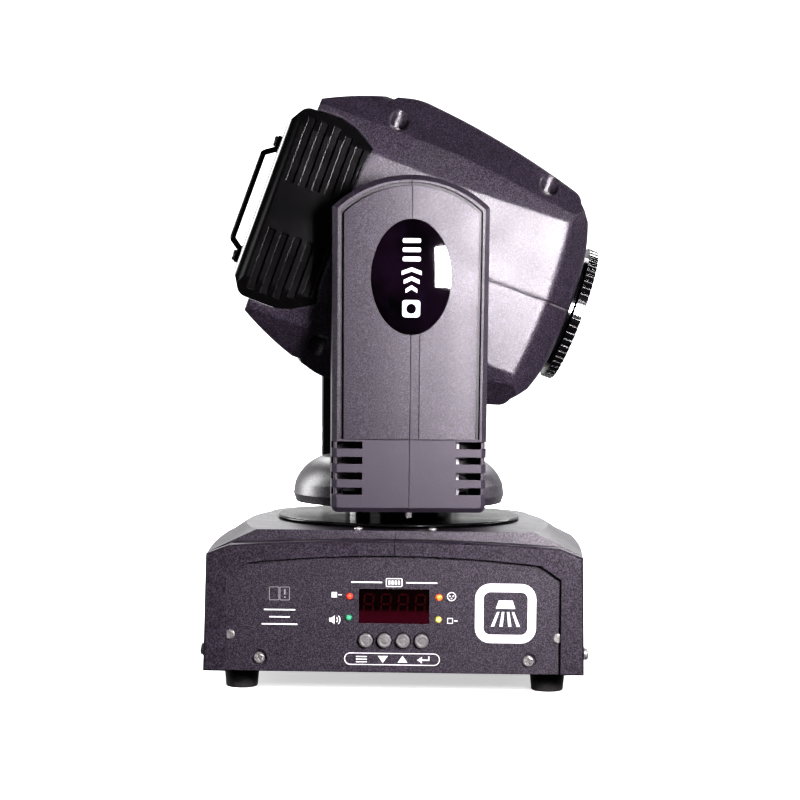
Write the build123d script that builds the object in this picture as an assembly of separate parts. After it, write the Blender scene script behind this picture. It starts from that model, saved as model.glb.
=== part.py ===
from build123d import *
import math
import os

# Moving head light: a base that stands on four feet, a yoke that pans on it and a head that tilts in the yoke.
# Millimetres, Z up. The origin is on the pan axis, at the underside of the base's bottom plate.
# The base's control panel faces -Y. The yoke is drawn with its arms on Y, the head with its lens along +X,
# and both are then turned into their places at rest.

# ---- places at rest ----
PAN_AT_REST = 5.0
TILT_AT_REST = 19.5
PIVOT_Z = 305.3

# ---- base ----
BASE_HALF_WIDTH = 137.0
BASE_SHOULDER_HALF_WIDTH = 135.5
BASE_SHOULDER_Z = 85.0
BASE_FRONT_Y = -125.0
BASE_REAR_Y = 125.0
BEZEL_DEPTH = 17.0
BEZEL_TOP_Z = 95.7
PLATEAU_Z = 101.5
PLATEAU_FRONT_Y = -107.5
PLATEAU_HALF_WIDTH = 100.5
REAR_CORNER_R = 75.0
WALL = 3.0
SEAM = 0.3
LIP = 1.8
PANEL_FRONT_Y = -120.6
PANEL_THICK = 1.5
PANEL_HALF_WIDTH = 120.0
PANEL_BORDER = 6.0
SHELL_BOTTOM_Z = 0.5
PLATE_THICK = 2.0
FOOT_X = 112.0
FOOT_Y = 85.0
FOOT_HEIGHT = 16.0
BRACKET_X = 80.0
BRACKET_Y = 55.0
BRACKET_HOLE_R = 3.25

# ---- control panel ----
BUTTON_XS = (-20.1, -6.7, 6.7, 20.1)
BUTTON_NAMES = ("menu", "down", "up", "enter")
BUTTON_Z = 23.6
BUTTON_R = 5.2
BUTTON_HOLE_R = 5.9
WINDOW = (-25.1, 25.2, 36.0, 60.4)
LED_PLACES = {"red": (-32.0, 55.0), "green": (-32.5, 39.6), "orange": (32.4, 55.0), "yellow": (32.0, 39.0)}
LED_R = 2.5
BOARD_FRONT_Y = -108.0
PANEL_SCREW = (118.0, 26.6)
TAB_SCREW = (97.0, 9.6)

# ---- rear panel ----
REAR_PANEL_HALF_WIDTH = 56.0
REAR_PANEL_TOP_Z = 68.0
SOCKET_Z = 36.0
XLR_IN_X = -38.0
XLR_OUT_X = -9.0
FUSE_X = 13.0
INLET_X = 38.0

# ---- pan drive ----
DECK_Z = 62.0
DECK_THICK = 3.0
SHAFT_R = 30.0
BEARING_R = 39.0
FIT = 0.05
PAN_PULLEY_R = 42.0
MOTOR_PULLEY_R = 8.0
BELT_THICK = 1.5
BELT_GAP = 0.3
PAN_MOTOR = (-75.0, 20.0)
MOTOR_SIZE = 42.0

# ---- yoke ----
DISC_R = 92.0
DISC_Z = 103.1
DISC_THICK = 1.6
NECK_R = 41.0
YOKE_BOTTOM_Z = 115.0
DOME_R = 80.5
DOME_TOP_Z = 149.0
ARM_OUTER = 114.0
ARM_INNER = 76.0
ARM_HALF_WIDTH = 56.8
ARM_HALF_WIDTH_LOW = 55.6
ARM_SHOULDER_Z = 335.5
ARM_TOP_Z = 358.5
ARM_STEP_Z = 168.0
ARM_RIM = 8.0
BADGE_Z = 285.0
BADGE_HALF = (29.0, 41.7)
VENT_ZS = (163.7, 152.6, 141.4, 130.4)
VENT_HEIGHT = 5.0
VENT_INNER_X = 34.0
VENT_OUTER_X = 52.0
UPRIGHT_Y = 88.0
UPRIGHT_THICK = 2.0
UPRIGHT_FOOT_Z = 121.0
TRUNNION_R = 10.0
TILT_BEARING_R = 17.0
TILT_PULLEY_R = 30.0
TILT_PULLEY_Y = -80.4
TILT_PULLEY_WIDTH = 7.0
TILT_MOTOR_Z = 222.0

# ---- head, in its own frame: X forward along the beam, Z up, pivot at the origin ----
HEAD_HALF_WIDTH = 72.0
HEAD_FRONT = 130.0
HEAD_WALL = 3.0
COVER_REAR = -114.5
HEAD_CROWN_R = 450.0
HEAD_CROWN_ARC = 70.0
FACETS = ((-122, 66, 80, 33, 58.5), (15, 66, 79, 32.1, 56.5), (132, 71, 64, 24.1, 60.5))
COVER_WALL = 5.0
SLOT_FIRST_X = -98.3
SLOT_PITCH = 10.0
SLOT_TOPS = (66.5, 66.5, 66.5, 62.7, 58.2)
GROOVE_COUNT = 5
GROOVE_FIRST = (-92.0, 82.0)
GROOVE_STEP = (10.4, 3.9)
GROOVE_HALF_WIDTH = 46.0
POCKETS = ((-37.5, 58.0, 89.0), (83.3, 58.0, 83.0))
POCKET_R = 6.8
POCKET_DEPTH = 9.0
POCKET_FLOOR = 5.0
LENS_NECK_R = 44.7
RING_R = 51.8
RING_BACK = 134.0
RING_FRONT = 141.0
RING_RIBS = 56
BARREL_R = 40.9
BAR_R = 2.2
BAR_OFFSET = 9.9
GOBO_X = 24.0
COLOUR_X = 10.0
WHEEL_CENTRE_Z = 38.0


def block(x0, x1, y0, y1, z0, z1):
    centre = Pos((x0 + x1) / 2, (y0 + y1) / 2, (z0 + z1) / 2)
    return centre * Box(x1 - x0, y1 - y0, z1 - z0)


def rod_x(r, x0, x1, y=0.0, z=0.0):
    return Pos((x0 + x1) / 2, y, z) * Rot(0, 90, 0) * Cylinder(r, x1 - x0)


def rod_y(r, y0, y1, x=0.0, z=0.0):
    return Pos(x, (y0 + y1) / 2, z) * Rot(90, 0, 0) * Cylinder(r, y1 - y0)


def rod_z(r, z0, z1, x=0.0, y=0.0):
    return Pos(x, y, (z0 + z1) / 2) * Cylinder(r, z1 - z0)


def closed_face(*edges):
    return make_face(Wire(list(edges)).edges())


def prism_y(face, y0, y1):
    """The face is drawn with world X across and world Z up; it is pushed from y0 to y1."""
    return Pos(0, y1, 0) * Rot(90, 0, 0) * extrude(face, y1 - y0, dir=(0, 0, 1))


def polygon(points):
    return make_face(Polyline(*points, close=True).edges())


def in_yoke(shape):
    return Rot(0, 0, PAN_AT_REST) * shape


def in_head(shape):
    return Rot(0, 0, PAN_AT_REST) * Pos(0, 0, PIVOT_Z) * Rot(0, TILT_AT_REST, 0) * shape


def save(name, shapes, place=None):
    """Writes one node: a solid, or a list of separate solids."""
    pieces = []
    for shape in shapes if isinstance(shapes, list) else [shapes]:
        moved = place(shape) if place else shape
        pieces.extend(moved.solids())
    node = pieces[0] if len(pieces) == 1 else Compound(children=pieces)
    export_step(node, f"parts/{name}.step")


def screw(head_r, head_height, shank_r, shank_length):
    """Pan head cross screw along -Z, with its seat at the origin."""
    head = Pos(0, 0, head_height / 2) * Cylinder(head_r, head_height)
    head = fillet(head.edges().group_by(Axis.Z)[-1], head_height * 0.6)
    slot = Box(head_r * 1.15, head_r * 0.26, head_height)
    cross = Pos(0, 0, head_height) * (slot + Rot(0, 0, 90) * slot)
    shank = Pos(0, 0, -shank_length / 2) * Cylinder(shank_r, shank_length)
    return head - cross + shank


# ------------------------------------------------------------------ base


def plan_outline(half, front, rear, corner, bulge):
    """Plan of the base housing: straight front, slightly bowed sides, large round rear corners."""
    turn = corner * math.sqrt(0.5)
    side_end = rear - corner
    middle = (front + side_end) / 2
    right = ThreePointArc((half, front), (half + bulge, middle), (half, side_end))
    right_corner = ThreePointArc(
        (half, side_end), (half - corner + turn, side_end + turn), (half - corner, rear)
    )
    back = Line((half - corner, rear), (corner - half, rear))
    left_corner = ThreePointArc(
        (corner - half, rear), (corner - half - turn, side_end + turn), (-half, side_end)
    )
    left = ThreePointArc((-half, side_end), (-half - bulge, middle), (-half, front))
    return closed_face(Line((-half, front), (half, front)), right, right_corner, back, left_corner, left)


def base_body(inset, front_shift):
    """Housing body behind the bezel; inset draws every wall and the top in."""
    low = plan_outline(
        BASE_HALF_WIDTH - inset, BASE_FRONT_Y + 13 + front_shift, BASE_REAR_Y - inset, REAR_CORNER_R, 2.0
    )
    mid = plan_outline(
        BASE_SHOULDER_HALF_WIDTH - inset,
        BASE_FRONT_Y + 14 + front_shift,
        BASE_REAR_Y - 1.5 - inset,
        REAR_CORNER_R,
        2.0,
    )
    top = plan_outline(
        PLATEAU_HALF_WIDTH - inset, PLATEAU_FRONT_Y + front_shift, BASE_REAR_Y - 19 - inset, 56.0, 13.0
    )
    sections = [low, Pos(0, 0, BASE_SHOULDER_Z - inset / 2) * mid, Pos(0, 0, PLATEAU_Z - inset) * top]
    return loft(Sketch() + sections, ruled=True)


def bezel_outline():
    half, low = BASE_SHOULDER_HALF_WIDTH, BASE_HALF_WIDTH
    return closed_face(
        Line((-low, 0), (low, 0)),
        Line((low, 0), (half, BASE_SHOULDER_Z)),
        Line((half, BASE_SHOULDER_Z), (118.5, 91.5)),
        ThreePointArc((118.5, 91.5), (0, BEZEL_TOP_Z), (-118.5, 91.5)),
        Line((-118.5, 91.5), (-half, BASE_SHOULDER_Z)),
        Line((-half, BASE_SHOULDER_Z), (-low, 0)),
    )


def panel_outline(border, bottom):
    """Control panel's outline: border widens it past the opening in the bezel."""
    half = PANEL_HALF_WIDTH + border
    knee = border * 0.5
    return closed_face(
        Line((-half, bottom), (half, bottom)),
        Line((half, bottom), (half, 69 + knee)),
        Line((half, 69 + knee), (105 + knee, 79 + border * 0.9)),
        ThreePointArc((105 + knee, 79 + border * 0.9), (0, 85 + border), (-105 - knee, 79 + border * 0.9)),
        Line((-105 - knee, 79 + border * 0.9), (-half, 69 + knee)),
        Line((-half, 69 + knee), (-half, bottom)),
    )


def base_housing():
    bezel = prism_y(bezel_outline(), BASE_FRONT_Y, BASE_FRONT_Y + BEZEL_DEPTH)
    bezel = chamfer(bezel.edges().group_by(Axis.Y)[0], 1.6)
    housing = bezel + base_body(0, 0)
    housing -= prism_y(panel_outline(0, -1), BASE_FRONT_Y - 1, BASE_FRONT_Y + BEZEL_DEPTH)
    housing -= prism_y(panel_outline(PANEL_BORDER + 0.3, -1), BASE_FRONT_Y + LIP, -104)
    cavity = base_body(WALL, 6.0)
    housing -= cavity + Pos(0, 0, -5) * extrude(cavity.faces().sort_by(Axis.Z)[0], 6, dir=(0, 0, 1))
    housing -= rod_z(46, 80, 110)
    housing -= block(-REAR_PANEL_HALF_WIDTH, REAR_PANEL_HALF_WIDTH, 110, 130, -1, REAR_PANEL_TOP_Z)
    housing -= block(-200, 200, -200, 200, -5, SHELL_BOTTOM_Z)
    for x in (-27, 27):
        housing -= rod_z(1.7, 90, 105, x, -98)
    for side in (-1, 1):
        housing -= rod_x(2.2, side * 120 - 20, side * 120 + 20, -100, 13)
    return housing


def make_base_shells():
    housing = base_housing()
    cut = SEAM / 2
    save("base_shell_left", housing & block(-200, -cut, -200, 200, -10, 200))
    save("base_shell_right", housing & block(cut, 200, -200, 200, -10, 200))


def make_chassis():
    """Folded steel tray: the bottom, two front tabs, two side ears and the rear panel."""
    outline = plan_outline(BASE_HALF_WIDTH - WALL - 0.8, -118.5, BASE_REAR_Y - WALL - 2.2, REAR_CORNER_R, 2.0)
    plate = extrude(outline, PLATE_THICK, dir=(0, 0, 1))
    for side in (-1, 1):
        near, far = sorted((side * 125.8, side * 140))
        plate -= block(near, far, -130, -105.5, -1, 5)
        x = side * TAB_SCREW[0]
        plate += block(x - 12, x + 12, -118.5, -117.0, 0, 20)
        plate -= rod_y(1.9, -120, -115, x, TAB_SCREW[1])
        ear = block(side * 126 - 1, side * 126 + 1, -105.5, -92, 0, 20)
        plate += ear - rod_x(2.2, side * 126 - 8, side * 126 + 8, -100, 13)
        for y in (-BRACKET_Y, BRACKET_Y):
            plate -= rod_z(BRACKET_HOLE_R, -1, 5, side * BRACKET_X, y)
        for y in (-FOOT_Y, FOOT_Y):
            plate -= rod_z(2.2, -1, 5, side * FOOT_X, y)
    save("base_chassis", plate + rear_panel())


def make_feet():
    feet = []
    for x in (-FOOT_X, FOOT_X):
        for y in (-FOOT_Y, FOOT_Y):
            foot = Pos(x, y, -FOOT_HEIGHT / 2) * Rot(180, 0, 0) * Cone(13, 11.5, FOOT_HEIGHT)
            foot = fillet(foot.edges().group_by(Axis.Z)[0], 1.5)
            foot -= rod_z(5.2, -FOOT_HEIGHT - 1, -FOOT_HEIGHT + 8, x, y)
            feet.append(foot - rod_z(2.2, -FOOT_HEIGHT, 1, x, y))
    save("rubber_feet", feet)


def make_front_panel():
    panel = prism_y(panel_outline(PANEL_BORDER, SHELL_BOTTOM_Z), PANEL_FRONT_Y, PANEL_FRONT_Y + PANEL_THICK)
    x0, x1, z0, z1 = WINDOW
    panel -= block(x0 - 0.2, x1 + 0.2, -125, -115, z0 - 0.2, z1 + 0.2)
    for x in BUTTON_XS:
        panel -= rod_y(BUTTON_HOLE_R, -125, -115, x, BUTTON_Z)
    for x, z in LED_PLACES.values():
        panel -= rod_y(LED_R + 0.3, -125, -115, x, z)
    for side in (-1, 1):
        panel -= rod_y(6.0, -125, -115, side * TAB_SCREW[0], TAB_SCREW[1])
        panel -= rod_y(1.9, -125, -115, side * PANEL_SCREW[0], PANEL_SCREW[1])
    save("front_panel", panel)


def make_display():
    x0, x1, z0, z1 = WINDOW
    window = block(x0, x1, PANEL_FRONT_Y + 0.3, PANEL_FRONT_Y + 2.2, z0, z1)
    flange = block(x0 - 2, x1 + 2, PANEL_FRONT_Y + PANEL_THICK + 0.1, PANEL_FRONT_Y + 2.6, z0 - 1.5, z1 + 2)
    save("display_window", window + flange)
    digits = block(x0, x1, -117.2, BOARD_FRONT_Y, 41.2, 60.2)
    for k in range(4):
        digits -= block(x0 + 1.2 + k * 12.7, x0 + 11.4 + k * 12.7, -118, -116.7, 42.6, 58.8)
    save("seven_segment_module", digits)


def make_leds():
    leds = []
    for x, z in LED_PLACES.values():
        body = rod_y(LED_R, -120.6, -114.5, x, z) + Pos(x, -120.6, z) * Sphere(LED_R)
        collar = rod_y(LED_R + 0.4, -115.5, -114.5, x, z)
        legs = block(x - 1.6, x - 1.0, -114.5, BOARD_FRONT_Y, z - 0.3, z + 0.3)
        legs += block(x + 1.0, x + 1.6, -114.5, BOARD_FRONT_Y, z - 0.3, z + 0.3)
        leds.append(body + collar + legs)
    save("status_leds", leds)


def make_buttons():
    for name, x in zip(BUTTON_NAMES, BUTTON_XS):
        cap = rod_y(BUTTON_R, -124.3, -117.8, x, BUTTON_Z)
        cap = fillet(cap.edges().group_by(Axis.Y)[0], 1.2)
        cap += rod_y(6.3, -118.7, -117.7, x, BUTTON_Z) + rod_y(2.0, -118, -115.0, x, BUTTON_Z)
        save(f"button_{name}", cap)


def make_control_board():
    board = block(-58, 58, BOARD_FRONT_Y, BOARD_FRONT_Y + 1.6, 8, 76)
    chip = block(-18, 0, BOARD_FRONT_Y + 1.6, BOARD_FRONT_Y + 4, 30, 48)
    plug = block(20, 44, BOARD_FRONT_Y + 1.6, BOARD_FRONT_Y + 9, 16, 24)
    board += chip + plug
    for x in BUTTON_XS:
        board += block(x - 3, x + 3, -111.8, BOARD_FRONT_Y, BUTTON_Z - 3, BUTTON_Z + 3)
        board += rod_y(1.75, -113.6, -111.8, x, BUTTON_Z)
    save("control_board", board)


def make_base_screws():
    pan_head = screw(4.0, 2.2, 1.8, 9)
    screws = []
    for side in (-1, 1):
        seat = Pos(side * PANEL_SCREW[0], PANEL_FRONT_Y, PANEL_SCREW[1]) * Rot(90, 0, 0)
        screws.append(seat * screw(3.6, 1.6, 1.8, 5))
        tab = Pos(side * TAB_SCREW[0], -118.5, TAB_SCREW[1]) * Rot(90, 0, 0) * Rot(0, 0, 25)
        screws.append(tab * pan_head)
        screws.append(Pos(side * 137.9, -100, 13) * Rot(0, side * 90, 0) * screw(4.6, 3.2, 2.1, 12))
        screws.append(Pos(side * 27, -98, PLATEAU_Z) * screw(3.0, 1.5, 1.6, 8))
        for y in (-FOOT_Y, FOOT_Y):
            foot_seat = Pos(side * FOOT_X, y, -FOOT_HEIGHT + 8) * Rot(180, 0, 0)
            screws.append(foot_seat * screw(4.2, 2.4, 2.1, 13))
    save("base_screws", screws)


def xlr_flange(x):
    flange = block(x - 13, x + 13, 122.2, 124.4, SOCKET_Z - 15.5, SOCKET_Z + 15.5)
    flange = fillet(flange.edges().filter_by(Axis.Y), 2.0)
    for sx, sz in ((-9.5, 12.0), (9.5, -12.0)):
        flange -= rod_y(1.7, 120, 126, x + sx, SOCKET_Z + sz)
    return flange


def rear_panel():
    half = REAR_PANEL_HALF_WIDTH
    panel = block(-half - 5, half + 5, 118.4, 120.2, SHELL_BOTTOM_Z, REAR_PANEL_TOP_Z + 4)
    panel += block(-half + 0.4, half - 0.4, 120.2, 122.2, SHELL_BOTTOM_Z, REAR_PANEL_TOP_Z - 0.4)
    for x in (XLR_IN_X, XLR_OUT_X):
        panel -= rod_y(11.6, 115, 125, x, SOCKET_Z)
    panel -= rod_y(6.2, 115, 125, FUSE_X, SOCKET_Z)
    panel -= block(INLET_X - 14, INLET_X + 14, 115, 125, SOCKET_Z - 10.3, SOCKET_Z + 10.3)
    return panel


def make_xlr_sockets():
    cup = rod_y(11.5, 104, 124.4, XLR_IN_X, SOCKET_Z) + xlr_flange(XLR_IN_X)
    cup -= rod_y(9.2, 109, 126, XLR_IN_X, SOCKET_Z)
    for k in range(3):
        angle = math.radians(180 + 90 * k)
        x = XLR_IN_X + 3.6 * math.cos(angle)
        cup += rod_y(1.2, 104, 122, x, SOCKET_Z + 3.6 * math.sin(angle))
    save("xlr_input_socket", cup)
    face = rod_y(11.5, 102, 124.4, XLR_OUT_X, SOCKET_Z) + xlr_flange(XLR_OUT_X)
    face -= rod_y(10.4, 122, 126, XLR_OUT_X, SOCKET_Z) - rod_y(8.8, 120, 127, XLR_OUT_X, SOCKET_Z)
    for k in range(3):
        angle = math.radians(180 + 90 * k)
        x = XLR_OUT_X + 3.6 * math.cos(angle)
        face -= rod_y(1.4, 112, 126, x, SOCKET_Z + 3.6 * math.sin(angle))
    face += block(XLR_OUT_X - 3.5, XLR_OUT_X + 3.5, 122.4, 126.2, SOCKET_Z + 10.5, SOCKET_Z + 14.5)
    save("xlr_output_socket", face)


def make_power_inlet():
    flange = block(INLET_X - 15.5, INLET_X + 15.5, 122.2, 124.4, SOCKET_Z - 12, SOCKET_Z + 12)
    flange = fillet(flange.edges().filter_by(Axis.Y), 2.5)
    inlet = flange + block(INLET_X - 13.8, INLET_X + 13.8, 102, 123, SOCKET_Z - 10, SOCKET_Z + 10)
    cup = block(INLET_X - 12, INLET_X + 12, 106.5, 126, SOCKET_Z - 8.2, SOCKET_Z + 8.2)
    cup = chamfer(cup.edges().filter_by(Axis.Y).group_by(Axis.Z)[-1], 4.5)
    inlet -= cup
    for dx, dz in ((-7, -2), (0, 2), (7, -2)):
        x, z = INLET_X + dx, SOCKET_Z + dz
        inlet += block(x - 1, x + 1, 98, 120, z - 2.4, z + 2.4)
    save("power_inlet", inlet)
    holder = rod_y(6.0, 98, 122.2, FUSE_X, SOCKET_Z) + rod_y(8.2, 122.2, 124.2, FUSE_X, SOCKET_Z)
    cap = rod_y(5.6, 124.2, 128.2, FUSE_X, SOCKET_Z)
    cap -= block(FUSE_X - 4.5, FUSE_X + 4.5, 127, 129, SOCKET_Z - 0.8, SOCKET_Z + 0.8)
    save("fuse_holder", holder + cap)


def make_power_supply():
    board = block(58, 118, -62, 62, 8, 9.6)
    for y in (-56, 56):
        for x in (63, 113):
            board += rod_z(3, PLATE_THICK, 8, x, y)
    board += block(66, 96, -20, 16, 9.6, 38) + rod_z(9, 9.6, 40, 104, -40) + rod_z(9, 9.6, 36, 104, 36)
    board += block(64, 68, 24, 58, 9.6, 44) + block(74, 92, -54, -32, 9.6, 30)
    save("power_supply", board)


def motor_body(length, shaft_r, shaft_length):
    """Square stepping motor: the body hangs below the origin along -Z, and the shaft rises along +Z."""
    half = MOTOR_SIZE / 2
    body = block(-half, half, -half, half, -length, 0)
    body = chamfer(body.edges().filter_by(Axis.Z), 4.0)
    for z in (-length + 8, -8):
        ring = block(-half - 1, half + 1, -half - 1, half + 1, z - 0.5, z + 0.5)
        body -= ring - block(-half + 0.6, half - 0.6, -half + 0.6, half - 0.6, z - 1, z + 1)
    return body + rod_z(shaft_r, 0, shaft_length)


def toothed_pulley(radius, bore, z0, z1, teeth):
    wheel = rod_z(radius, z0, z1)
    tooth = radius * math.pi / teeth
    for k in range(teeth):
        groove = block(radius - 0.9, radius + 1, -tooth / 2, tooth / 2, z0 + 1.2, z1 - 1.2)
        wheel -= Rot(0, 0, 360 / teeth * k) * groove
    return wheel - rod_z(bore, z0 - 1, z1 + 1)


def belt_loop(distance, r_big, r_small, width):
    """Flat belt round a pulley at the origin and a smaller one at +X, lying in the XY plane."""
    lean = math.acos((r_big - r_small) / distance)

    def hull(extra):
        big, small = r_big + extra, r_small + extra
        c, s = math.cos(lean), math.sin(lean)
        face = polygon([(big * c, big * s), (distance + small * c, small * s),
                        (distance + small * c, -small * s), (big * c, -big * s)])
        return face + Circle(big) + Pos(distance, 0) * Circle(small)

    ring = hull(BELT_GAP + BELT_THICK) - hull(BELT_GAP)
    return extrude(ring, width, dir=(0, 0, 1))


def make_pan_drive():
    deck = block(-105, 105, -85, 88, DECK_Z, DECK_Z + DECK_THICK) + rod_z(BEARING_R + 6, 46, DECK_Z)
    deck -= rod_z(BEARING_R, 50, 70) + rod_z(36.8, 40, 70)
    motor_x, motor_y = PAN_MOTOR
    deck -= rod_z(11.5, 55, 70, motor_x, motor_y)
    for x in (-98, 98):
        for y in (-78, 80):
            deck += rod_z(5, PLATE_THICK, DECK_Z, x, y)
    save("pan_deck", deck)
    race = rod_z(BEARING_R, 50, DECK_Z) - rod_z(SHAFT_R + FIT, 40, 70)
    groove = rod_z(36.2, DECK_Z - 1, DECK_Z + 1) - rod_z(33.4, DECK_Z - 2, DECK_Z + 2)
    save("pan_bearing", race - groove)
    motor = Pos(motor_x, motor_y, DECK_Z) * motor_body(34, 2.5, 19)
    save("pan_motor", motor + rod_z(11, DECK_Z, DECK_Z + 2, motor_x, motor_y))
    pulley = toothed_pulley(MOTOR_PULLEY_R, 2.5 + FIT, 68, 80, 20)
    save("pan_motor_pulley", Pos(motor_x, motor_y, 0) * pulley)
    heading = math.degrees(math.atan2(motor_y, motor_x))
    loop = belt_loop(math.hypot(motor_x, motor_y), PAN_PULLEY_R, MOTOR_PULLEY_R, 9.0)
    save("pan_belt", Rot(0, 0, heading) * Pos(0, 0, 69.5) * loop)


# ------------------------------------------------------------------ yoke


def make_turntable():
    disc = rod_z(DISC_R, DISC_Z, DISC_Z + DISC_THICK) - rod_z(SHAFT_R, 90, 110)
    disc = chamfer(disc.edges().group_by(Axis.Z)[-1].sort_by(SortBy.RADIUS)[-1], 0.9)
    save("turntable_disc", disc, in_yoke)
    neck = rod_z(SHAFT_R, 44, DISC_Z + DISC_THICK) + rod_z(NECK_R, DISC_Z + DISC_THICK, YOKE_BOTTOM_Z)
    neck -= rod_z(20, 40, 120)
    save("pan_neck", neck, in_yoke)
    save("pan_pulley", toothed_pulley(PAN_PULLEY_R, SHAFT_R, 68, 80, 105), in_yoke)


def dome_profile(inset):
    r = DOME_R - inset
    top = DOME_TOP_Z - inset
    return closed_face(
        Line((0, YOKE_BOTTOM_Z), (r - 2, YOKE_BOTTOM_Z)),
        Line((r - 2, YOKE_BOTTOM_Z), (r, YOKE_BOTTOM_Z + 6)),
        Line((r, YOKE_BOTTOM_Z + 6), (r - 1.2, YOKE_BOTTOM_Z + 14)),
        ThreePointArc((r - 1.2, YOKE_BOTTOM_Z + 14), (r - 7.5, top - 9.5), (r - 22, top)),
        Line((r - 22, top), (0, top)),
        Line((0, top), (0, YOKE_BOTTOM_Z)),
    )


def make_yoke_base():
    dome = revolve(Rot(90, 0, 0) * dome_profile(0), Axis.Z)
    dome -= revolve(Rot(90, 0, 0) * dome_profile(2.6), Axis.Z) + rod_z(DOME_R - 4.6, 110, 118.4)
    dome &= block(-100, 100, -ARM_INNER + 0.2, ARM_INNER - 0.2, 100, 160)
    for near, far in ((-80, -58), (58, 80)):
        dome -= block(-46, 46, near, far, 110, 127)
    save("yoke_base_shell", dome, in_yoke)
    plate = rod_z(DOME_R - 5.2, YOKE_BOTTOM_Z, 118.2) & block(-100, 100, -75.6, 75.6, 110, 120)
    plate += block(-44, 44, -UPRIGHT_Y - 3, UPRIGHT_Y + 3, 118.2, UPRIGHT_FOOT_Z)
    plate -= rod_z(20, 110, 130)
    save("yoke_base_plate", plate, in_yoke)


def arm_outline(inset, bottom):
    half = ARM_HALF_WIDTH - inset
    low = ARM_HALF_WIDTH_LOW - inset
    shoulder = ARM_SHOULDER_Z - inset * 0.6
    corner = 4.5
    return closed_face(
        Line((-low + corner, bottom), (low - corner, bottom)),
        RadiusArc((low - corner, bottom), (low, bottom + corner), -corner),
        Line((low, bottom + corner), (half, shoulder)),
        ThreePointArc((half, shoulder), (0, ARM_TOP_Z - inset), (-half, shoulder)),
        Line((-half, shoulder), (-low, bottom + corner)),
        RadiusArc((-low, bottom + corner), (-low + corner, bottom), -corner),
    )


def arm_shell():
    """Outer cover of the arm at -Y: rim, groove, crowned face above the step and a flat vented foot below it."""
    rim_y, face_y = -ARM_OUTER + 2.5, -ARM_OUTER
    shell = prism_y(arm_outline(0, YOKE_BOTTOM_Z), rim_y, -ARM_INNER - 4)
    rim = [e for e in shell.edges().group_by(Axis.Y)[0] if e.center().Z > ARM_STEP_Z]
    shell = chamfer(rim, 3.5)
    face = prism_y(arm_outline(ARM_RIM, ARM_STEP_Z - 6), face_y - 2, rim_y + 4)
    crown = Pos(0, face_y + 700, 250) * Rot(90, 0, 0) * Cylinder(700, 400, rotation=(90, 0, 0))
    face &= crown
    groove = prism_y(arm_outline(ARM_RIM - 2.6, 100), rim_y - 1, rim_y + 2.5)
    groove -= prism_y(arm_outline(ARM_RIM, 100), rim_y - 2, rim_y + 3)
    upper = block(-100, 100, -200, 0, ARM_STEP_Z, 400)
    shell = shell - (groove & upper) + (face & upper)
    shell -= prism_y(arm_outline(WALL, YOKE_BOTTOM_Z + WALL), rim_y + 3.5, -ARM_INNER)
    recess = Pos(0, 0, BADGE_Z) * prism_y(Ellipse(*BADGE_HALF), -ARM_OUTER - 5, rim_y + 1.2)
    shell -= recess
    strip = block(0.6, 6.6, -ARM_OUTER - 5, face_y + 0.9, ARM_STEP_Z, BADGE_Z - 30)
    shell -= strip
    for z in VENT_ZS:
        for side in (-1, 1):
            near, far = sorted((side * VENT_INNER_X, side * VENT_OUTER_X))
            low, high = z - VENT_HEIGHT / 2, z + VENT_HEIGHT / 2
            shell -= block(near, far, -130, rim_y + 3.6, low, high)
            near, far = sorted((side * (VENT_OUTER_X - 1), side * 70))
            shell -= block(near, far, -130, rim_y + 1.5, low, high)
            near, far = sorted((side * (ARM_HALF_WIDTH_LOW - 1.3), side * 70))
            shell -= block(near, far, -130, rim_y + 12, low, high)
    return shell


def arm_badge():
    a, b = BADGE_HALF
    dome = Pos(0, 0, BADGE_Z) * prism_y(Ellipse(a - 0.3, b - 0.3), -ARM_OUTER - 4, -ARM_OUTER + 3.7)
    return dome & (Pos(0, 217 - ARM_OUTER - 2.6, BADGE_Z) * Sphere(217))


def make_arms():
    shell = arm_shell()
    inner = prism_y(arm_outline(0.3, YOKE_BOTTOM_Z), -ARM_INNER - 3.8, -ARM_INNER)
    inner -= rod_y(TILT_BEARING_R + 3, -90, -70, 0, PIVOT_Z)
    inner -= block(-46, 46, -90, -70, 110, 135)
    badges, uprights, bearings = [], [], []
    for arm, turn in (("near", 0), ("far", 180)):
        def place(shape, turn=turn):
            return in_yoke(Rot(0, 0, turn) * shape)

        for side, name in ((-1, "left"), (1, "right")):
            near, far = sorted((side * SEAM / 2, side * 120))
            half = shell & block(near, far, -200, 0, 0, 400)
            save(f"{arm}_arm_shell_{name}", half, place)
        save(f"{arm}_arm_inner_cover", inner, place)
        badges.append(place(arm_badge()))
        outer_y = -UPRIGHT_Y - UPRIGHT_THICK
        upright = block(-38, 38, outer_y, -UPRIGHT_Y, UPRIGHT_FOOT_Z, 338)
        upright += block(-38, 38, outer_y, -60, UPRIGHT_FOOT_Z, UPRIGHT_FOOT_Z + UPRIGHT_THICK)
        upright += rod_y(TILT_BEARING_R + 5, -UPRIGHT_Y - 8, -UPRIGHT_Y, 0, PIVOT_Z)
        upright -= rod_y(TILT_BEARING_R, -100, -70, 0, PIVOT_Z)
        if arm == "near":
            upright -= rod_y(12, -100, -70, 0, TILT_MOTOR_Z)
        uprights.append(place(upright))
        bearing = rod_y(TILT_BEARING_R, -UPRIGHT_Y - 8, -UPRIGHT_Y, 0, PIVOT_Z)
        bearing -= rod_y(TRUNNION_R, -100, -70, 0, PIVOT_Z)
        bearings.append(place(bearing))
    save("arm_badges", badges)
    save("yoke_uprights", uprights)
    save("tilt_bearings", bearings)


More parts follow.
